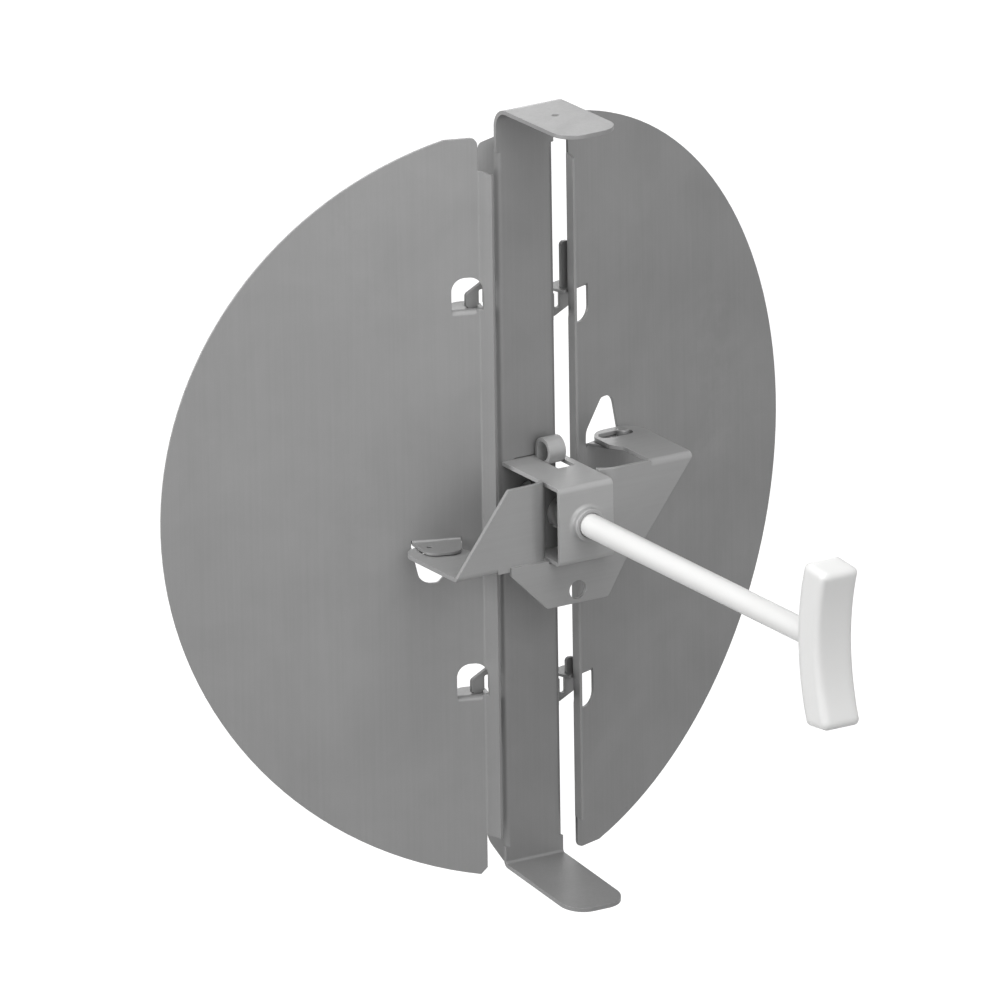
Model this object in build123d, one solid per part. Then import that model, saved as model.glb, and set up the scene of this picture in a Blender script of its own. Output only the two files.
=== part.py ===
from build123d import *
import math
import os

# Butterfly damper for a round diffuser neck, in millimetres.
# Origin: on the rod's axis, at the crossbar's front face. The handle points to -Y, +Z runs up the crossbar.
# Everything is modelled as it stands in the duct, with the blades partly open.

# Sheet and running clearances
strap_sheet = 1.0
blade_sheet = 0.7
bracket_sheet = 1.0
arm_sheet = 1.0
gap = 0.3
shaft_gap = 0.06

# Crossbar: a folded strap with two side flanges and an ear at each end
strap_width = 16.6
strap_bend = 0.5
flange_depth = 9.0
flange_round = 4.0
flange_end_front = 94.0
flange_end_back = 90.0
upper_fold_z = 100.9
upper_fold_bend = 4.5
upper_ear_rise = 1.0
upper_ear_reach = 32.5
lower_fold_z = 94.3
lower_fold_bend = 0.8
lower_ear_drop = 6.8
lower_ear_reach = 31.0
ear_corner = 6.0
dimple_radius = 1.6
dimple_y = 14.5
dimple_lift = 1.2

# Hinges: each hook stands out of a crossbar flange and its finger passes up or down through a blade's lug
hinge_x = 13.5
hinge_y = 4.0
hinge_z = 50.0
hook_sheet = 1.0
finger_width = 2.6
finger_long = 12.0
finger_short = 4.0
finger_tip = 1.0
hook_height = 5.8
hook_corner = 2.6
hook_outer = 1.8
hook_shoulder = 0.5
hook_relief = 3.8
hook_neck = 1.8
lug_headroom = 2.0
flange_left = 2.3

# Blades: two segments of one disc
disc_radius = 98.0
disc_offset = 17.1
pivot_inset = 1.4
pivot_depth = 2.8
blade_bend = 0.6
blade_corner = 2.0
blade_flat_end = 94.6
rest_angle = 19.45
open_angle = 75.0
stiffener_length = 172.0
stiffener_width = 4.8
stiffener_angle = 58.4
lug_width = 8.1
lug_depth = 7.4
lug_round = 3.4
lug_root_round = 0.6
lug_window = 8.4
lug_overhang = 1.2
window_overhang = 0.8

# Drive lugs on the blades, and the pins drawn up out of them
drive_lug_inner = 5.3
drive_lug_outer = 18.2
drive_lug_depth = 10.2
drive_lug_lean = 1.9
drive_lug_taper = 2.3
drive_window_waist = 3.0
drive_window_lean = 6.2
drive_kerf = 0.15
drive_pin_out = 13.0
drive_pin_forward = 7.2
drive_pin_radius = 1.5
drive_pin_bore = 0.8
drive_pin_height = 0.9
drive_pin_round = 0.4

# Operator bracket: a folded U, held in the crossbar by two bent tabs
bracket_width = 15.6
bracket_height = 20.2
bracket_reach = 26.3
bracket_bend = 0.5
collar_foot = 6.2
collar_mouth = 4.2
collar_height = 2.0
collar_draw = 1.0
tab_width = 8.0
tab_clinch = 3.4
keeper_width = 5.0
keeper_x = 3.4
keeper_back = 2.2
keeper_front = 12.0
keeper_radius = 3.4
keeper_lap = 0.7

# Drive arm: a folded yoke
arm_y = 21.0
arm_bend = 0.6
arm_top = 10.6
arm_shoulder = 19.0
arm_corner = 1.0
wing_tip = 1.2
foot_inner = 22.4
foot_outer = 34.2
foot_lobe = 20.2
foot_lobe_start = 5.0
foot_lobe_blend = 3.4
foot_end = 6.0
foot_round = 5.5
pin_slot_play = 0.5
pin_slot_run = 0.4
arm_recess = 6.0
arm_recess_half = 5.1
arm_recess_angle = 60.0
arm_recess_bend = 1.0
arm_roll = 6.0
arm_tooth = 1.5
tongue_depth = 21.8
tongue_half = 8.8
tongue_shoulder = 1.0
tongue_right = 15.0
tongue_step = 0.8
tongue_overlap = 1.2
tongue_hole = 2.4
tongue_hole_z = 18.4

# Handle screw: rod, two-start screw, snap end and T-handle in one moulding
rod_radius = 3.0
rod_length = 130.4
screw_radius = 4.0
screw_core = 2.9
screw_length = 20.5
screw_lead = 12.0
screw_groove = 2.6
end_play = 0.2
journal_radius = 2.5
snap_radius = 3.0
snap_land = 0.8
snap_length = 3.2
snap_slit = 0.9
handle_width = 10.5
handle_depth = 9.5
handle_back_height = 42.0
handle_front_height = 40.3
handle_bow = 3.7
handle_round = 1.5
handle_root = 2.0

# Worked out from the sizes above
strap_half = strap_width / 2
strap_inner = strap_half - strap_sheet
bracket_half = bracket_width / 2
bracket_top = bracket_height / 2
foot_low = arm_top - arm_sheet
lug_low = hinge_z - blade_sheet / 2
lug_top = hinge_z + blade_sheet / 2
hook_shelf = lug_low - gap
hook_low = hook_shelf - hook_height
blade_edge_x = hinge_x - pivot_inset
blade_front_y = hinge_y - pivot_depth
blade_back_y = blade_front_y + blade_sheet
drive_fold_z = foot_low - gap
hinge_hole = math.hypot(finger_width, hook_sheet) / 2 + shaft_gap
pin_reach = math.hypot(drive_pin_out, drive_pin_forward)
pin_angle = math.degrees(math.atan2(-drive_pin_forward, drive_pin_out)) + rest_angle
pin_rest_y = hinge_y + pin_reach * math.sin(math.radians(pin_angle))
pin_open_x = hinge_x + pin_reach * math.cos(math.radians(pin_angle + open_angle - rest_angle))
past = 3.0
tall = 300.0


def outline(*corners):
    """Closed face through corners (a, b) or (a, b, radius), each rounded by its own radius."""
    points = [Vector(corner[0], corner[1]) for corner in corners]
    radii = [corner[2] if len(corner) > 2 else 0 for corner in corners]
    starts, ends, edges = [], [], []
    for index, (here, radius) in enumerate(zip(points, radii)):
        back = (points[index - 1] - here).normalized()
        ahead = (points[(index + 1) % len(points)] - here).normalized()
        if radius == 0:
            starts.append(here)
            ends.append(here)
            continue
        half = math.radians(back.get_angle(ahead)) / 2
        start = here + back * (radius / math.tan(half))
        end = here + ahead * (radius / math.tan(half))
        crown = here + (back + ahead).normalized() * (radius / math.sin(half) - radius)
        edges.append(ThreePointArc(start, crown, end))
        starts.append(start)
        ends.append(end)
    for index, end in enumerate(ends):
        start = starts[(index + 1) % len(starts)]
        if (start - end).length > 1e-6:
            edges.append(Line(end, start))
    return make_face(edges)


def ribbon(path, sheet, bend):
    """Edge view of a folded sheet. The path is one face of it and the sheet lies to the path's left."""
    points = [Vector(*point) for point in path]
    legs = [(after - before).normalized() for before, after in zip(points, points[1:])]
    sides = [Vector(-leg.Y, leg.X) for leg in legs]
    bends = bend if isinstance(bend, list) else [bend] * (len(points) - 2)
    first = points[0] + sides[0] * sheet
    last = points[-1] + sides[-1] * sheet
    near = [(points[0].X, points[0].Y)]
    far = [(first.X, first.Y)]
    for index, point in enumerate(points[1:-1]):
        before, after = legs[index], legs[index + 1]
        turns_left = before.X * after.Y - before.Y * after.X > 0
        spread = sides[index] + sides[index + 1]
        other = point + spread * (sheet / (1 + sides[index].dot(sides[index + 1])))
        tight, wide = bends[index], bends[index] + sheet
        near.append((point.X, point.Y, wide if turns_left else tight))
        far.append((other.X, other.Y, tight if turns_left else wide))
    return outline(*near, (points[-1].X, points[-1].Y), (last.X, last.Y), *reversed(far))


def along_x(face, low, high):
    """A face drawn in (y, z), made solid between two values of x."""
    return extrude(Plane.YZ.offset(low) * face, high - low)


def along_y(face, low, high):
    """A face drawn in (x, z), made solid between two values of y."""
    return extrude(Plane.XZ.offset(-high) * face, high - low)


def along_z(face, low, high):
    """A face drawn in (x, y), made solid between two values of z."""
    return extrude(Plane.XY.offset(low) * face, high - low)


def block(low, high):
    """A box between two opposite corners."""
    size = [after - before for before, after in zip(low, high)]
    centre = [(after + before) / 2 for before, after in zip(low, high)]
    return Pos(*centre) * Box(*size)


def rod_along_z(x, y, radius, low, high):
    return Pos(x, y, (low + high) / 2) * Cylinder(radius, high - low)


def rod_along_y(x, z, radius, low, high):
    return Pos(x, (low + high) / 2, z) * Rot(90, 0, 0) * Cylinder(radius, high - low)


def half_turn(shape):
    """The same form turned half round the rod's axis: the damper repeats itself this way."""
    return Rot(0, 180, 0) * shape


def hook(finger):
    """A hinge hook on the right-hand flange. Its finger points up between the shoulders under the lug."""
    back = hinge_y + hook_sheet / 2
    path = [(2 * hinge_x, back), (strap_inner, back), (strap_inner, strap_sheet)]
    edge_view = ribbon(path, hook_sheet, strap_bend)
    finger_in = hinge_x - finger_width / 2
    finger_out = hinge_x + finger_width / 2
    front_view = outline(
        (0, hook_shelf),
        (strap_half + hook_neck, hook_shelf),
        (strap_half + hook_neck, hook_shelf - hook_relief, hook_shoulder),
        (finger_in - hook_shoulder, hook_shelf - hook_relief, hook_shoulder),
        (finger_in - hook_shoulder, hook_shelf),
        (finger_in, hook_shelf),
        (finger_in, lug_top + finger, finger_tip),
        (finger_out, lug_top + finger, finger_tip),
        (finger_out, hook_shelf),
        (finger_out + hook_shoulder, hook_shelf),
        (finger_out + hook_shoulder, hook_low + hook_corner, finger_tip),
        (strap_half + hook_outer, hook_low, finger_tip),
        (0, hook_low),
    )
    return along_z(edge_view, hook_low - past, lug_top + finger + past) & along_y(front_view, 0, back + past)


def hook_window():
    """The notch left in the flange where a hook is turned out, with room for the lug above it."""
    return block(
        (strap_inner - past, flange_left, hook_low - gap),
        (strap_half + past, flange_depth + past, lug_top + lug_headroom),
    )


def strap():
    """The flat strap with its two ears bent forward."""
    rise = upper_ear_reach * math.tan(math.radians(upper_ear_rise))
    drop = lower_ear_reach * math.tan(math.radians(lower_ear_drop))
    edge_view = ribbon(
        [
            (-upper_ear_reach, upper_fold_z + rise),
            (0, upper_fold_z),
            (0, -lower_fold_z),
            (-lower_ear_reach, -lower_fold_z - drop),
        ],
        strap_sheet,
        [upper_fold_bend, lower_fold_bend],
    )
    plan = []
    for reach, low, high in ((upper_ear_reach, 0, tall), (lower_ear_reach, -tall, 0)):
        tip = -reach + strap_sheet * math.sin(math.radians(lower_ear_drop))
        corners = [(-strap_half, tip, ear_corner), (strap_half, tip, ear_corner)]
        plan.append(along_z(outline(*corners, (strap_half, past), (-strap_half, past)), low, high))
    return along_x(edge_view, -strap_half, strap_half) & (plan[0] + plan[1])


def crossbar():
    half, inner = strap_half, strap_inner
    channel = along_z(
        outline(
            (-half, 0, strap_bend + strap_sheet),
            (half, 0, strap_bend + strap_sheet),
            (half, flange_depth),
            (inner, flange_depth),
            (inner, strap_sheet, strap_bend),
            (-inner, strap_sheet, strap_bend),
            (-inner, flange_depth),
            (-half, flange_depth),
        ),
        -tall,
        tall,
    )
    flange_ends = along_x(
        outline(
            (0, -flange_end_front),
            (strap_sheet, -flange_end_front),
            (flange_depth, -flange_end_back, flange_round),
            (flange_depth, flange_end_back, flange_round),
            (strap_sheet, flange_end_front),
            (0, flange_end_front),
        ),
        -half,
        half,
    )
    # The strap keeps its flat face only past the flanges, where it turns into the ears.
    between = block((-half, -past, -flange_end_back), (half, past, flange_end_back))
    bar = (channel & flange_ends) + (strap() - between)
    lower = Pos(0, 0, -2 * hinge_z)
    for window in (hook_window(), lower * hook_window()):
        bar -= window
        bar -= half_turn(window)
    for piece in (hook(finger_long), lower * hook(finger_short)):
        bar += piece
        bar += half_turn(piece)
    bar -= rod_along_y(0, 0, journal_radius + shaft_gap, -past, past)
    slot = block(
        (-tab_width / 2 - gap, -past, bracket_top - bracket_sheet - gap),
        (tab_width / 2 + gap, past, bracket_top + gap),
    )
    bar -= slot
    bar -= half_turn(slot)
    ear_top = upper_fold_z + strap_sheet + dimple_y * math.tan(math.radians(upper_ear_rise))
    return bar - Pos(0, -dimple_y, ear_top + dimple_lift) * Sphere(dimple_radius)


def hinge_lugs(blade):
    """Two lugs turned back off the blade over their windows, each bored for a hook's finger."""
    edge, front, back = blade_edge_x, blade_front_y, blade_back_y
    root = edge + (blade_bend + blade_sheet) * math.tan(math.radians(stiffener_angle) / 2)
    inner, outer = edge - lug_overhang, edge + lug_width - lug_overhang
    window_in, window_out = edge - window_overhang, outer + drive_kerf
    window = along_y(
        outline(
            (window_in, lug_low, drive_kerf),
            (window_out, lug_low, drive_kerf),
            (window_out, lug_low - lug_window, lug_round),
            (window_in, lug_low - lug_window, lug_round),
        ),
        front - past,
        back + past,
    )
    path = [(front, lug_low + past), (front, lug_low), (front + lug_depth + past, lug_low)]
    section = along_x(ribbon(path, blade_sheet, blade_bend), inner, outer)
    plan = along_z(
        outline(
            (root, front),
            (outer, front),
            (outer, front + lug_depth, lug_round),
            (inner, front + lug_depth, lug_round),
            (inner, back, lug_root_round),
            (root, back),
        ),
        lug_low - past,
        lug_low + past,
    )
    bend = block((root, front - past, lug_low), (outer, back + past, lug_low + blade_bend + blade_sheet))
    bore = rod_along_z(hinge_x, hinge_y, hinge_hole, lug_low - past, lug_low + past)
    for level in (0, -2 * hinge_z):
        shift = Pos(0, 0, level)
        blade = blade - shift * window - shift * bend
        blade = blade + shift * (section & plan) - shift * bore
    return blade


def drive_lug(blade):
    """A lug turned forward under the arm's foot, with the pin drawn up out of it."""
    edge, front, back, fold = blade_edge_x, blade_front_y, blade_back_y, drive_fold_z
    inner, outer = edge + drive_lug_inner, edge + drive_lug_outer
    window = outline(
        (inner, fold),
        (inner + drive_kerf, fold + drive_window_waist, lug_round),
        (inner + drive_window_lean, fold + drive_lug_depth, drive_pin_radius),
        (outer - drive_lug_taper, fold + drive_lug_depth, lug_round),
        (outer, fold),
    )
    blade = blade - along_y(window, front - past, back + past)
    inner, outer, depth = inner + drive_kerf, outer - drive_kerf, drive_lug_depth - drive_kerf
    blade = blade - block((inner, front - past, fold - blade_bend - blade_sheet), (outer, back + past, fold))
    path = [(back, fold - past), (back, fold), (back - depth - past, fold)]
    section = along_x(ribbon(path, blade_sheet, blade_bend), inner, outer)
    plan = along_z(
        outline(
            (outer, back),
            (outer - drive_lug_taper, back - depth, lug_round),
            (inner + drive_lug_lean, back - depth, lug_round),
            (inner, back),
        ),
        fold - past,
        fold + past,
    )
    pin_x, pin_y = hinge_x + drive_pin_out, hinge_y - drive_pin_forward
    pin = rod_along_z(pin_x, pin_y, drive_pin_radius, fold - blade_sheet, arm_top + drive_pin_height)
    pin = fillet(pin.edges().sort_by(Axis.Z)[-1], drive_pin_round)
    return blade + (section & plan) + pin - rod_along_z(pin_x, pin_y, drive_pin_bore, fold - past, arm_top)


def right_blade_closed():
    """The right-hand blade as it lies across the neck, before it is turned to its rest angle."""
    edge, front, back = blade_edge_x, blade_front_y, blade_back_y
    corner_z = math.sqrt(disc_radius**2 - disc_offset**2)
    disc = Pos(edge - disc_offset, 0) * Circle(disc_radius)
    keep = outline(
        (edge, -blade_flat_end, blade_corner),
        (edge + disc_radius, -blade_flat_end),
        (edge + disc_radius, corner_z + past),
        (edge + blade_corner, corner_z + past),
        (edge + blade_corner, corner_z),
        (edge, corner_z - blade_corner),
    )
    blade = along_y(disc & keep, front, back)
    # The straight edge is turned forward and inward as a stiffener.
    lean = math.radians(stiffener_angle)
    tip = (edge - stiffener_width * math.cos(lean), front - stiffener_width * math.sin(lean))
    fold_room = (blade_bend + blade_sheet) * math.tan(lean / 2)
    half = stiffener_length / 2
    stiffener = along_z(
        ribbon([tip, (edge, front), (edge + fold_room + gap, front)], blade_sheet, blade_bend),
        -half,
        half,
    )
    blade = blade - block((edge - past, front - past, -half), (edge + fold_room, back + past, half))
    return drive_lug(hinge_lugs(blade + stiffener))


def right_blade():
    hinge = Pos(hinge_x, hinge_y, 0)
    return hinge * Rot(0, 0, rest_angle) * hinge.inverse() * right_blade_closed()


def collar():
    """Drawn collar round the rod."""
    bore, foot_y = rod_radius + shaft_gap, -bracket_reach
    section = outline(
        (bore, foot_y + bracket_sheet),
        (collar_foot, foot_y + bracket_sheet),
        (collar_foot, foot_y),
        (collar_mouth, foot_y, collar_draw),
        (collar_mouth, foot_y - collar_height, collar_draw / 3),
        (bore, foot_y - collar_height, collar_draw / 3),
    )
    return revolve(Plane.XY * section, Axis.Y)


def keeper():
    """Tongue lanced out of the upper leg and curled up and over its window."""
    low, high = keeper_x - keeper_width / 2 + gap / 2, keeper_x + keeper_width / 2 - gap / 2
    inside, root = bracket_top - bracket_sheet, -keeper_back
    centre_y, centre_z = root + bracket_sheet - keeper_radius, inside + keeper_radius
    ring = Circle(keeper_radius) - Circle(keeper_radius - bracket_sheet)
    below = -2 * keeper_radius
    mouth = outline((0, 0), (-keeper_lap, below), (keeper_radius, below), (keeper_radius, 0))
    curl = along_x(Pos(centre_y, centre_z) * (ring - mouth), low, high)
    return curl + block((low, root, inside), (high, root + bracket_sheet, centre_z))


def operator_bracket():
    half, top, reach = bracket_half, bracket_top, bracket_reach
    path = [(0, top), (-reach, top), (-reach, -top), (0, -top)]
    body = along_x(ribbon(path, bracket_sheet, bracket_bend), -half, half)
    # Tabs at the ends of the two legs pass through the crossbar and are bent over behind it.
    low, behind = top - bracket_sheet, strap_sheet + bracket_sheet
    tab_path = [(-gap, low), (behind, low), (behind, top + tab_clinch)]
    tab = along_x(ribbon(tab_path, bracket_sheet, gap / 2), -tab_width / 2, tab_width / 2)
    body = body + tab + half_turn(tab)
    body = body - rod_along_y(0, 0, collar_foot - gap, -reach - past, -reach + past) + collar()
    window = block(
        (keeper_x - keeper_width / 2, -keeper_front, top - past),
        (keeper_x + keeper_width / 2, -keeper_back, top + past),
    )
    return body - window + keeper()


def foot():
    """The right-hand foot, turned back off the wing, with a lobe and a slot for the blade's pin."""
    front = -arm_y
    path = [(foot_end + past, arm_top), (front, arm_top), (front, foot_low - past)]
    section = along_x(ribbon(path, arm_sheet, arm_bend), foot_lobe - gap, foot_outer)
    plan = along_z(
        outline(
            (foot_inner, front - past),
            (foot_outer, front - past),
            (foot_outer, foot_end, foot_round),
            (foot_lobe, foot_end, foot_round),
            (foot_lobe, -foot_lobe_start, foot_lobe_blend / 2),
            (foot_inner, -foot_lobe_start - foot_lobe_blend, foot_lobe_blend / 2),
        ),
        0,
        arm_top + past,
    )
    half_slot = drive_pin_radius + pin_slot_play
    inner_end = pin_open_x - pin_slot_run
    outer_end = hinge_x + pin_reach + pin_slot_run
    slot = block((inner_end, pin_rest_y - half_slot, 0), (outer_end, pin_rest_y + half_slot, arm_top + past))
    for end in (inner_end, outer_end):
        slot += rod_along_z(end, pin_rest_y, half_slot, 0, arm_top + past)
    return (section & plan) - slot


def arm_plate():
    """Both wings and the joggled tongue, seen from the front."""
    front, back = -arm_y, -arm_y + arm_sheet
    fold = foot_low - arm_bend
    wing_foot = arm_shoulder + (foot_outer - arm_shoulder) * (fold + arm_top) / (2 * arm_top - wing_tip)
    wings = outline(
        (-arm_shoulder, arm_top, arm_corner),
        (foot_inner, arm_top),
        (foot_inner, fold),
        (wing_foot, fold),
        (arm_shoulder, -arm_top, arm_corner),
        (-foot_inner, -arm_top),
        (-foot_inner, -fold),
        (-wing_foot, -fold),
    )
    seam = -arm_top + tongue_overlap
    tongue = outline(
        (-arm_shoulder, seam),
        (-arm_shoulder, -arm_top - tongue_shoulder, arm_corner),
        (-tongue_half, -tongue_depth, arm_corner),
        (tongue_half, -tongue_depth, arm_corner),
        (tongue_right, -arm_top - tongue_shoulder, arm_corner),
        (tongue_right, seam),
    )
    plate = along_y(wings, front, back) + along_y(tongue, front - tongue_step, back - tongue_step)
    joggle = block((-arm_shoulder, front - tongue_step, -arm_top), (tongue_right, back, seam))
    return plate + joggle


def drive_arm():
    front = -arm_y
    plate = arm_plate()
    # The middle is rolled back between the bracket's legs.
    slope_end = arm_recess_half + arm_recess / math.tan(math.radians(arm_recess_angle))
    roll_start = slope_end + (arm_roll + arm_sheet) * math.tan(math.radians(arm_recess_angle) / 2) + gap
    level, deep = front + arm_recess, -arm_top + arm_sheet
    middle = along_z(
        ribbon(
            [
                (-roll_start, front),
                (-slope_end, front),
                (-arm_recess_half, level),
                (arm_recess_half, level),
                (slope_end, front),
                (roll_start, front),
            ],
            arm_sheet,
            [arm_roll, arm_recess_bend, arm_recess_bend, arm_roll],
        ),
        deep,
        arm_top,
    )
    plate -= block((-roll_start, front - past, deep), (roll_start, level + past, arm_top + past))
    plate += middle
    # Windows for the bracket's two legs, which keep the arm from turning with the screw.
    side = bracket_half + gap
    leg_in, leg_out = bracket_top - bracket_sheet - gap, bracket_top + gap
    plate -= block((-side, front - past, leg_in), (side, level + past, arm_top + past))
    plate -= block((-side, front - past, -leg_out), (side, level + past, -leg_in))
    plate -= rod_along_y(0, -tongue_hole_z, tongue_hole, front - past, front + past)
    plate -= rod_along_y(0, 0, screw_radius + gap, front, level + past)
    # Two teeth stand into the screw's grooves.
    tooth = block(
        (-arm_tooth / 2, level, screw_core + gap),
        (arm_tooth / 2, level + arm_sheet, screw_radius + gap + arm_tooth),
    )
    plate += tooth + half_turn(tooth)
    trim = along_y(
        outline(
            (0, -arm_top),
            (arm_shoulder, -arm_top),
            (foot_outer, arm_top - wing_tip),
            (foot_outer, arm_top + past),
            (0, arm_top + past),
        ),
        front - past,
        foot_end + past,
    )
    right = foot() & trim
    return plate + right + half_turn(right)


def handle():
    """T-handle: a bar that bows forward at both ends."""
    back, front = -rod_length, -rod_length - handle_depth
    back_end = (back - handle_bow, handle_back_height / 2)
    front_end = (front - handle_bow, handle_front_height / 2)
    back_low = (back_end[0], -back_end[1])
    front_low = (front_end[0], -front_end[1])
    side = make_face(
        [
            ThreePointArc(back_low, (back, 0), back_end),
            Line(back_end, front_end),
            ThreePointArc(front_end, (front, 0), front_low),
            Line(front_low, back_low),
        ]
    )
    bar = along_x(side, -handle_width / 2, handle_width / 2)
    return fillet(bar.edges(), handle_round)


def screw_thread():
    """Two-start right-hand screw, turned so that its grooves meet the arm's teeth at rest."""
    length = screw_length - end_play
    half_groove = math.radians(180 * screw_groove / screw_lead)
    side, rise = 2 * screw_radius * math.sin(half_groove), 2 * screw_radius * math.cos(half_groove)
    groove = outline((0, 0), (side, rise), (-side, rise))
    section = Circle(screw_radius) - groove - Rot(0, 0, 180) * groove + Circle(screw_core)
    tooth_y = -arm_y + arm_recess + arm_sheet / 2
    phase = 360 * (screw_length + tooth_y) / screw_lead
    start = Plane.XZ.offset(screw_length) * Rot(0, 0, phase) * section
    twist = 360 * length / screw_lead
    return Solid.extrude_linear_with_rotation(start.face(), (0, -screw_length, 0), (0, length, 0), twist)


def handle_screw():
    rear = strap_sheet + end_play
    turned = outline(
        (0, -rod_length - handle_root),
        (rod_radius, -rod_length - handle_root),
        (rod_radius, -screw_length),
        (screw_core / 2, -screw_length),
        (screw_core / 2, -end_play),
        (journal_radius, -end_play),
        (journal_radius, rear),
        (snap_radius, rear + end_play),
        (snap_radius, rear + end_play + snap_land),
        (journal_radius - snap_slit / 2, strap_sheet + snap_length),
        (0, strap_sheet + snap_length),
    )
    screw = revolve(Plane.XY * turned, Axis.Y) + screw_thread()
    screw -= block(
        (-snap_slit / 2, -snap_length / 2, -snap_radius - past),
        (snap_slit / 2, strap_sheet + snap_length + past, snap_radius + past),
    )
    return screw + handle()


pieces = {
    "crossbar": crossbar(),
    "right_blade": right_blade(),
    "operator_bracket": operator_bracket(),
    "drive_arm": drive_arm(),
    "handle_screw": handle_screw(),
}
pieces["left_blade"] = half_turn(pieces["right_blade"])

os.makedirs("parts", exist_ok=True)
for name, piece in pieces.items():
    piece.label = name
    export_step(piece, "parts/" + name + ".step")
    print(name, len(piece.solids()), "solid", round(piece.volume), "mm3")
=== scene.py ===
# %% [markdown]
# # A butterfly damper, dressed for the camera
#
# The damper is a set of thin folded sheets with one white moulding through the middle. Its solids
# are already right: every hook, lug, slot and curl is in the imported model. What is missing is the
# studio and the finish. So this script loads the model, sets the camera where the photographer
# stood, lights it softly, and then gives each piece the surface it has in the hand: satin
# zinc-coated sheet, and a plain white plastic.

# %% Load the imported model
import math

import bmesh
import bpy
from mathutils import Matrix, Vector


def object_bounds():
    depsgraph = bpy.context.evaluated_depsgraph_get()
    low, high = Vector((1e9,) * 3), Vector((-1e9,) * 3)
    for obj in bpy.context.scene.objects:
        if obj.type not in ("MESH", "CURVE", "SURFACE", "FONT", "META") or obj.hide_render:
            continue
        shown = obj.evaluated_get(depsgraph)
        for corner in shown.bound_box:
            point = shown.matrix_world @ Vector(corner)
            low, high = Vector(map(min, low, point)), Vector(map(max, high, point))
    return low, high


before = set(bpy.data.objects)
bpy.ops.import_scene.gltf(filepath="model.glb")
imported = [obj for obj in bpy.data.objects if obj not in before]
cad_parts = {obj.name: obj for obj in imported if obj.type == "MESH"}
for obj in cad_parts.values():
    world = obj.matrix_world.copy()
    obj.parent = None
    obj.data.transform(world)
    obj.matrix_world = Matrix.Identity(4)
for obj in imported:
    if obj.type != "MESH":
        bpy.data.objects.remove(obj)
cad_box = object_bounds()
bpy.context.scene.view_settings.view_transform = "Standard"
print("pieces:", sorted(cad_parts))
print("box in mm:", [[round(v * 1000, 1) for v in corner] for corner in cad_box])

# %% [markdown]
# ## The camera
#
# The photograph looks down on the damper a little and from the left of the rod. Parallel edges stay
# parallel in it, so it was taken from far away with a long lens. A camera 10 m off with a matching
# lens does the same. The picture is also turned by less than a degree, and that roll is kept so
# that the strap leans as it does there.

# %% Camera at the photograph's angle
LEFT_OF_ROD = math.radians(31.77)
ABOVE_ROD = math.radians(18.6)
PICTURE_ROLL = math.radians(0.83)
CAMERA_DISTANCE = 10.0
PICTURE_WIDTH = 0.2459
PICTURE_CENTRE = (-0.0073, -0.0012)


def look_from(left, above, roll):
    """Right, up and back directions of a camera that looks at the damper."""
    right = Vector((math.cos(left), -math.sin(left), 0))
    up = Vector((math.sin(left) * math.sin(above), math.cos(left) * math.sin(above), math.cos(above)))
    turned_right = right * math.cos(roll) - up * math.sin(roll)
    turned_up = right * math.sin(roll) + up * math.cos(roll)
    return turned_right, turned_up, turned_right.cross(turned_up)


def add_camera():
    right, up, back = look_from(LEFT_OF_ROD, ABOVE_ROD, PICTURE_ROLL)
    camera = bpy.data.objects.new("studio_camera", bpy.data.cameras.new("studio_camera"))
    bpy.context.collection.objects.link(camera)
    place = right * PICTURE_CENTRE[0] + up * PICTURE_CENTRE[1] + back * CAMERA_DISTANCE
    camera.matrix_world = Matrix.Translation(place) @ Matrix((right, up, back)).transposed().to_4x4()
    camera.data.lens = camera.data.sensor_width * CAMERA_DISTANCE / PICTURE_WIDTH
    bpy.context.scene.camera = camera
    print("lens in mm:", round(camera.data.lens))


add_camera()

# %% [markdown]
# ## Floor and background
#
# The photograph's background is clean white. A real sweep of white paper would do it, and here a
# plain floor and a white world do the same. Both show white only to the camera and to mirror-like
# rays. To the light that spreads from one surface to the next they are a dull grey, so the folds
# and the inside of the bracket keep their shade.

# %% A pale floor below the lower ear
FLOOR_DROP = 0.12
FLOOR_REACH = 9.0
FLOOR_GREY = 0.25
FLOOR_LIFT = 0.96
STUDIO_GREY = 0.15


def seen_directly(tree):
    """1 for rays from the camera, from a gloss or through a clear piece, and 0 for light that spreads."""
    path = tree.nodes.new("ShaderNodeLightPath")
    total = path.outputs["Is Camera Ray"]
    for name in ("Is Glossy Ray", "Is Transmission Ray"):
        add = tree.nodes.new("ShaderNodeMath")
        add.operation = "ADD"
        add.use_clamp = True
        tree.links.new(total, add.inputs[0])
        tree.links.new(path.outputs[name], add.inputs[1])
        total = add.outputs[0]
    return total


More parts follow.
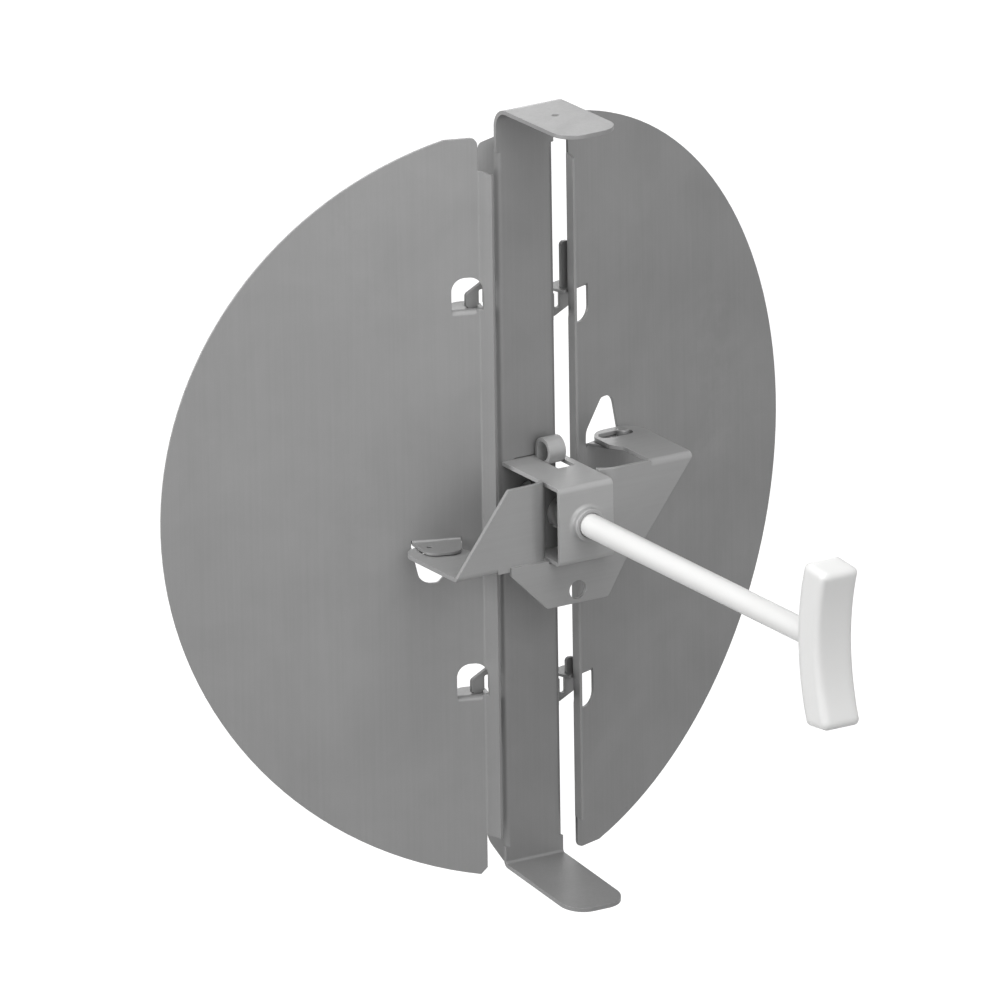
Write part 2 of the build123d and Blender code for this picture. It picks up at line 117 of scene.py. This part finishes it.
def add_floor():
    level = cad_box[0][2] - FLOOR_DROP
    shape = bmesh.new()
    bmesh.ops.create_grid(shape, x_segments=1, y_segments=1, size=FLOOR_REACH)
    bmesh.ops.translate(shape, verts=shape.verts, vec=(0, 0, level))
    mesh = bpy.data.meshes.new("studio_floor")
    shape.to_mesh(mesh)
    shape.free()
    floor = bpy.data.objects.new("studio_floor", mesh)
    bpy.context.collection.objects.link(floor)
    material = bpy.data.materials.new("white_paper")
    material.use_nodes = True
    tree = material.node_tree
    surface = tree.nodes["Principled BSDF"]
    surface.inputs["Base Color"].default_value = (FLOOR_GREY, FLOOR_GREY, FLOOR_GREY, 1)
    surface.inputs["Roughness"].default_value = 0.9
    surface.inputs["Specular IOR Level"].default_value = 0
    surface.inputs["Emission Color"].default_value = (1, 1, 1, 1)
    lift = tree.nodes.new("ShaderNodeMath")
    lift.operation = "MULTIPLY"
    lift.inputs[1].default_value = FLOOR_LIFT
    tree.links.new(seen_directly(tree), lift.inputs[0])
    tree.links.new(lift.outputs[0], surface.inputs["Emission Strength"])
    mesh.materials.append(material)
    print("floor at z in mm:", round(level * 1000, 1))


add_floor()

# %% A world that is white to look at and grey as a light
world = bpy.data.worlds.new("studio_air")
world.use_nodes = True
bpy.context.scene.world = world
air = world.node_tree
brightness = air.nodes.new("ShaderNodeMapRange")
brightness.inputs["To Min"].default_value = STUDIO_GREY
brightness.inputs["To Max"].default_value = 1.0
air.links.new(seen_directly(air), brightness.inputs["Value"])
air.nodes["Background"].inputs["Color"].default_value = (1, 1, 1, 1)
air.links.new(brightness.outputs["Result"], air.nodes["Background"].inputs["Strength"])
print("world light:", STUDIO_GREY)

# %% [markdown]
# ## Lights
#
# The sheets are brightest where they face up, and the folds that face left are nearly black. So the
# main light is a soft box overhead and a little in front. The left side of the white handle is
# bright all the same, and the left-hand blade is a step brighter than the right-hand one. So a
# second box stands on the left, so far round that the crossbar keeps it off the folds. Both are
# near, because everything gets darker towards the lower ear. A third box in front keeps the face of
# the handle white, and a wide one far behind lights the back of the blades and puts a sheen on the
# upward faces. The lamps are low enough for the white rod to stay a shade under pure white.

# %% Soft boxes
SOFT_BOXES = {
    "main_box": {"place": (-0.04, -0.19, 0.49), "size": 0.32, "watts": 1.62},
    "side_box": {"place": (-0.66, 0.08, 0.2), "size": 0.4, "watts": 4.6},
    "front_box": {"place": (-0.1, -0.85, 0.3), "size": 0.7, "watts": 5.2},
    "back_box": {"place": (0.3, 1.5, 0.3), "size": 1.3, "watts": 12},
}


def add_soft_box(name, place, size, watts):
    lamp = bpy.data.lights.new(name, "AREA")
    lamp.size = size
    lamp.energy = watts
    holder = bpy.data.objects.new(name, lamp)
    bpy.context.collection.objects.link(holder)
    holder.location = place
    holder.rotation_mode = "QUATERNION"
    holder.rotation_quaternion = Vector(place).to_track_quat("Z", "Y")
    print(name, watts, "W")


for name, setting in SOFT_BOXES.items():
    add_soft_box(name, **setting)

# %% [markdown]
# ## What the finishes share
#
# Rolled sheet has a fine grain along the strip it was cut from, and zinc dries on it in faint
# clouds. Hands leave soft marks on both metal and plastic. Painting these by hand would tie them to
# one view, so each is a small node group that works from the piece's own coordinates. Each material
# then sets how much of it shows.

# %% A helper for wiring nodes
def add_node(tree, kind, **values):
    """A node with its input sockets set by name, spaces written as underscores."""
    node = tree.nodes.new(kind)
    for name, value in values.items():
        node.inputs[name.replace("_", " ")].default_value = value
    return node


def new_group(name, inputs, outputs):
    """An empty shader group with its sockets, and its two end nodes."""
    group = bpy.data.node_groups.new(name, "ShaderNodeTree")
    for socket, kind, value in inputs:
        item = group.interface.new_socket(socket, in_out="INPUT", socket_type=kind)
        if value is not None:
            item.default_value = value
    for socket, kind in outputs:
        group.interface.new_socket(socket, in_out="OUTPUT", socket_type=kind)
    return group, group.nodes.new("NodeGroupInput"), group.nodes.new("NodeGroupOutput")


def spread(tree, value, low, high, source=(0.0, 1.0)):
    """Map Range from a source span to low..high, which may be sockets."""
    node = tree.nodes.new("ShaderNodeMapRange")
    tree.links.new(value, node.inputs["Value"])
    node.inputs["From Min"].default_value, node.inputs["From Max"].default_value = source
    for name, end in (("To Min", low), ("To Max", high)):
        if isinstance(end, bpy.types.NodeSocket):
            tree.links.new(end, node.inputs[name])
        else:
            node.inputs[name].default_value = end
    return node.outputs["Result"]


def times(tree, first, second, operation="MULTIPLY"):
    node = tree.nodes.new("ShaderNodeMath")
    node.operation = operation
    for socket, value in zip(node.inputs, (first, second)):
        if isinstance(value, bpy.types.NodeSocket):
            tree.links.new(value, socket)
        else:
            socket.default_value = value
    return node.outputs[0]


# %% Rolled sheet: grain, clouds of zinc and fine pitting
CLOUD_SHARE, GRAIN_SHARE = 0.7, 0.3
DULL_ZINC, SMOOTH_ZINC = 0.52, 0.4
GRAIN_HEIGHT, PIT_HEIGHT = 0.6, 0.4


def rolled_sheet_group():
    group, given, made = new_group(
        "rolled_sheet",
        [
            ("Grain Vector", "NodeSocketVector", None),
            ("Cloud Vector", "NodeSocketVector", None),
            ("Dark Zinc", "NodeSocketColor", (0.2, 0.2, 0.2, 1)),
            ("Light Zinc", "NodeSocketColor", (0.3, 0.3, 0.3, 1)),
        ],
        [("Colour", "NodeSocketColor"), ("Roughness", "NodeSocketFloat"), ("Height", "NodeSocketFloat")],
    )
    grain = add_node(group, "ShaderNodeTexNoise", Scale=1.0, Detail=4.0, Roughness=0.6)
    clouds = add_node(group, "ShaderNodeTexNoise", Scale=38.0, Detail=5.0, Roughness=0.55, Distortion=0.4)
    pits = add_node(group, "ShaderNodeTexNoise", Scale=1600.0, Detail=2.0)
    group.links.new(given.outputs["Grain Vector"], grain.inputs["Vector"])
    for node in (clouds, pits):
        group.links.new(given.outputs["Cloud Vector"], node.inputs["Vector"])
    cloudy = spread(group, clouds.outputs["Fac"], 0.0, CLOUD_SHARE, (0.3, 0.7))
    grained = spread(group, grain.outputs["Fac"], 0.0, GRAIN_SHARE, (0.3, 0.7))
    shade = times(group, cloudy, grained, "ADD")
    mix = group.nodes.new("ShaderNodeMix")
    mix.data_type = "RGBA"
    group.links.new(shade, mix.inputs["Factor"])
    group.links.new(given.outputs["Dark Zinc"], mix.inputs["A"])
    group.links.new(given.outputs["Light Zinc"], mix.inputs["B"])
    group.links.new(mix.outputs["Result"], made.inputs["Colour"])
    group.links.new(spread(group, shade, DULL_ZINC, SMOOTH_ZINC), made.inputs["Roughness"])
    ridges = times(group, grain.outputs["Fac"], GRAIN_HEIGHT)
    hollows = times(group, pits.outputs["Fac"], PIT_HEIGHT)
    group.links.new(times(group, ridges, hollows, "ADD"), made.inputs["Height"])
    return group


ROLLED_SHEET = rolled_sheet_group()
print("made", ROLLED_SHEET.name, "with", len(ROLLED_SHEET.nodes), "nodes")


# %% Handling marks
def handling_group():
    """Soft patches where hands and packing have rubbed the surface, from 0 to 1."""
    group, given, made = new_group(
        "handling_marks", [("Vector", "NodeSocketVector", None)], [("Marks", "NodeSocketFloat")]
    )
    patches = add_node(group, "ShaderNodeTexNoise", Scale=22.0, Detail=3.0, Distortion=0.8)
    streaks = add_node(group, "ShaderNodeTexNoise", Scale=140.0, Detail=6.0, Roughness=0.7)
    for node in (patches, streaks):
        group.links.new(given.outputs["Vector"], node.inputs["Vector"])
    wide = spread(group, patches.outputs["Fac"], 0.0, 1.0, (0.52, 0.72))
    fine = spread(group, streaks.outputs["Fac"], 0.0, 1.0, (0.4, 0.65))
    group.links.new(times(group, wide, fine), made.inputs["Marks"])
    return group


HANDLING_MARKS = handling_group()
print("made", HANDLING_MARKS.name, "with", len(HANDLING_MARKS.nodes), "nodes")


# %% Painted highlight on sharp edges
def edge_highlight_group():
    """How near a surface point is to a sharp edge, from 0 on the flat to 1 on the edge: the mask of a
    painted edge highlight.
    """
    group, given, made = new_group(
        "painted_edge_highlight", [("Width", "NodeSocketFloat", 0.0002)], [("Edge", "NodeSocketFloat")]
    )
    rounded = group.nodes.new("ShaderNodeBevel")
    rounded.samples = 4
    group.links.new(given.outputs["Width"], rounded.inputs["Radius"])
    flat = group.nodes.new("ShaderNodeNewGeometry")
    dot = group.nodes.new("ShaderNodeVectorMath")
    dot.operation = "DOT_PRODUCT"
    group.links.new(rounded.outputs["Normal"], dot.inputs[0])
    group.links.new(flat.outputs["Normal"], dot.inputs[1])
    group.links.new(spread(group, dot.outputs["Value"], 1.0, 0.0, (0.72, 0.99)), made.inputs["Edge"])
    return group


PAINTED_EDGE_HIGHLIGHT = edge_highlight_group()
print("made", PAINTED_EDGE_HIGHLIGHT.name, "with", len(PAINTED_EDGE_HIGHLIGHT.nodes), "nodes")

# %% [markdown]
# ## Zinc-coated sheet
#
# All five sheets come from thin zinc-coated strip. It is a dull satin grey: more a soft sheen than
# a mirror. Each sharp edge, folds as well as cuts, is painted a touch lighter as a highlight. Full
# metal would show the white studio everywhere, so the surface is part metal and part dull oxide,
# which is also how old zinc looks. The grain runs along each strip: up the crossbar and the blades,
# and across the short parts.

# %% Helpers for colours and places on a piece
def place_group(tree, group):
    node = tree.nodes.new("ShaderNodeGroup")
    node.node_tree = group
    return node


def mix_colour(tree, factor, first, second):
    node = tree.nodes.new("ShaderNodeMix")
    node.data_type = "RGBA"
    tree.links.new(factor, node.inputs["Factor"])
    for name, value in (("A", first), ("B", second)):
        if isinstance(value, bpy.types.NodeSocket):
            tree.links.new(value, node.inputs[name])
        else:
            node.inputs[name].default_value = value
    return node.outputs["Result"]


def mapped(tree, scale=(1, 1, 1), turn=(0, 0, 0)):
    """Object coordinates, stretched and turned for one piece."""
    place = tree.nodes.new("ShaderNodeTexCoord")
    mapping = tree.nodes.new("ShaderNodeMapping")
    mapping.inputs["Scale"].default_value = scale
    mapping.inputs["Rotation"].default_value = turn
    tree.links.new(place.outputs["Object"], mapping.inputs["Vector"])
    return mapping.outputs["Vector"]


def rounded_normal(tree, radius, samples):
    """The surface's direction, as if its edges were rounded by a radius in metres."""
    rounded = tree.nodes.new("ShaderNodeBevel")
    rounded.samples = samples
    rounded.inputs["Radius"].default_value = radius
    return rounded.outputs["Normal"]


def grey(level):
    return (level, level, level, 1)


# %% The sheet material
FINE_GRAIN = 1500
LONG_GRAIN = 25
GRAIN_ALONG = {"x": (LONG_GRAIN, FINE_GRAIN, FINE_GRAIN), "z": (FINE_GRAIN, FINE_GRAIN, LONG_GRAIN)}
METAL_SHARE = 0.15
RUBBED_LIGHTER, RUBBED_SMOOTHER = 1.15, 0.08
# Painted highlight: sharp edges, folds as well as cuts, are lightened by this factor.
EDGE_HIGHLIGHT_LIGHTER = 1.5
SHEET_EDGE = 0.00018


def zinc_sheet(name, dark, light, along, turn=0.0):
    material = bpy.data.materials.new(name)
    material.use_nodes = True
    tree = material.node_tree
    surface = tree.nodes["Principled BSDF"]
    surface.inputs["Metallic"].default_value = METAL_SHARE
    sheet = place_group(tree, ROLLED_SHEET)
    sheet.inputs["Dark Zinc"].default_value = grey(dark)
    sheet.inputs["Light Zinc"].default_value = grey(light)
    tree.links.new(mapped(tree, GRAIN_ALONG[along], (0, 0, turn)), sheet.inputs["Grain Vector"])
    plain = mapped(tree, turn=(0, 0, turn))
    tree.links.new(plain, sheet.inputs["Cloud Vector"])
    marks = place_group(tree, HANDLING_MARKS)
    tree.links.new(plain, marks.inputs["Vector"])
    edge = place_group(tree, PAINTED_EDGE_HIGHLIGHT)
    faint = times(tree, marks.outputs["Marks"], 0.25)
    worn = mix_colour(tree, faint, sheet.outputs["Colour"], grey(light * RUBBED_LIGHTER))
    # Painted highlight: every sharp edge is mixed towards a lighter grey, folds as well as cut edges.
    bright = mix_colour(tree, times(tree, edge.outputs["Edge"], 0.5), worn, grey(light * EDGE_HIGHLIGHT_LIGHTER))
    tree.links.new(bright, surface.inputs["Base Color"])
    polish = times(tree, marks.outputs["Marks"], RUBBED_SMOOTHER)
    tree.links.new(times(tree, sheet.outputs["Roughness"], polish, "SUBTRACT"), surface.inputs["Roughness"])
    bump = add_node(tree, "ShaderNodeBump", Strength=0.12, Distance=0.00004)
    tree.links.new(sheet.outputs["Height"], bump.inputs["Height"])
    tree.links.new(rounded_normal(tree, SHEET_EDGE, 4), bump.inputs["Normal"])
    tree.links.new(bump.outputs["Normal"], surface.inputs["Normal"])
    return material


# %% [markdown]
# ## White plastic
#
# The rod, its screw and the T-handle are one moulding in plain white plastic, satin on the rod and
# a little duller where it is held. Light goes a short way into it, which softens the shading at its
# edges, so a little subsurface scattering is used in place of a brighter white. A Bevel node rounds
# the shading of the handle's edges as well, because in the photograph they turn more softly than a
# plain corner does.

# %% The plastic material
CLEAN_WHITE = (0.66, 0.66, 0.655, 1)
HANDLED_WHITE = (0.61, 0.61, 0.6, 1)
MOULDED_EDGE = 0.0025


def white_plastic(name):
    material = bpy.data.materials.new(name)
    material.use_nodes = True
    tree = material.node_tree
    surface = tree.nodes["Principled BSDF"]
    surface.inputs["Subsurface Weight"].default_value = 0.12
    surface.inputs["Subsurface Radius"].default_value = (0.002, 0.002, 0.002)
    surface.inputs["Subsurface Scale"].default_value = 1.0
    plain = mapped(tree)
    marks = place_group(tree, HANDLING_MARKS)
    tree.links.new(plain, marks.inputs["Vector"])
    tone = mix_colour(tree, times(tree, marks.outputs["Marks"], 0.35), CLEAN_WHITE, HANDLED_WHITE)
    tree.links.new(tone, surface.inputs["Base Color"])
    tree.links.new(spread(tree, marks.outputs["Marks"], 0.36, 0.5), surface.inputs["Roughness"])
    flow = add_node(tree, "ShaderNodeTexNoise", Scale=60.0, Detail=2.0)
    skin = add_node(tree, "ShaderNodeTexNoise", Scale=2600.0, Detail=2.0)
    for node in (flow, skin):
        tree.links.new(plain, node.inputs["Vector"])
    height = times(tree, flow.outputs["Fac"], times(tree, skin.outputs["Fac"], 0.12), "ADD")
    bump = add_node(tree, "ShaderNodeBump", Strength=0.15, Distance=0.0002)
    tree.links.new(rounded_normal(tree, MOULDED_EDGE, 6), bump.inputs["Normal"])
    tree.links.new(height, bump.inputs["Height"])
    tree.links.new(bump.outputs["Normal"], surface.inputs["Normal"])
    return material


# %% Finishes on the pieces
BLADE_TURN = math.radians(19.45)
FINISHES = {
    # The bracket and the arm get lighter greys and the crossbar a darker one than the blades, though all
    # are one zinc: painted light and shade for how the light falls on each piece.
    "crossbar": zinc_sheet("zinc_strap", 0.185, 0.215, "z"),
    "left_blade": zinc_sheet("zinc_left_blade", 0.195, 0.227, "z", BLADE_TURN),
    "right_blade": zinc_sheet("zinc_right_blade", 0.195, 0.227, "z", -BLADE_TURN),
    "operator_bracket": zinc_sheet("zinc_bracket", 0.29, 0.33, "x"),
    "drive_arm": zinc_sheet("zinc_arm", 0.24, 0.275, "x"),
    "handle_screw": white_plastic("white_moulding"),
}

for node_name, material in FINISHES.items():
    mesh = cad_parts[node_name].data
    mesh.materials.clear()
    mesh.materials.append(material)
    print(node_name, "wears", material.name)
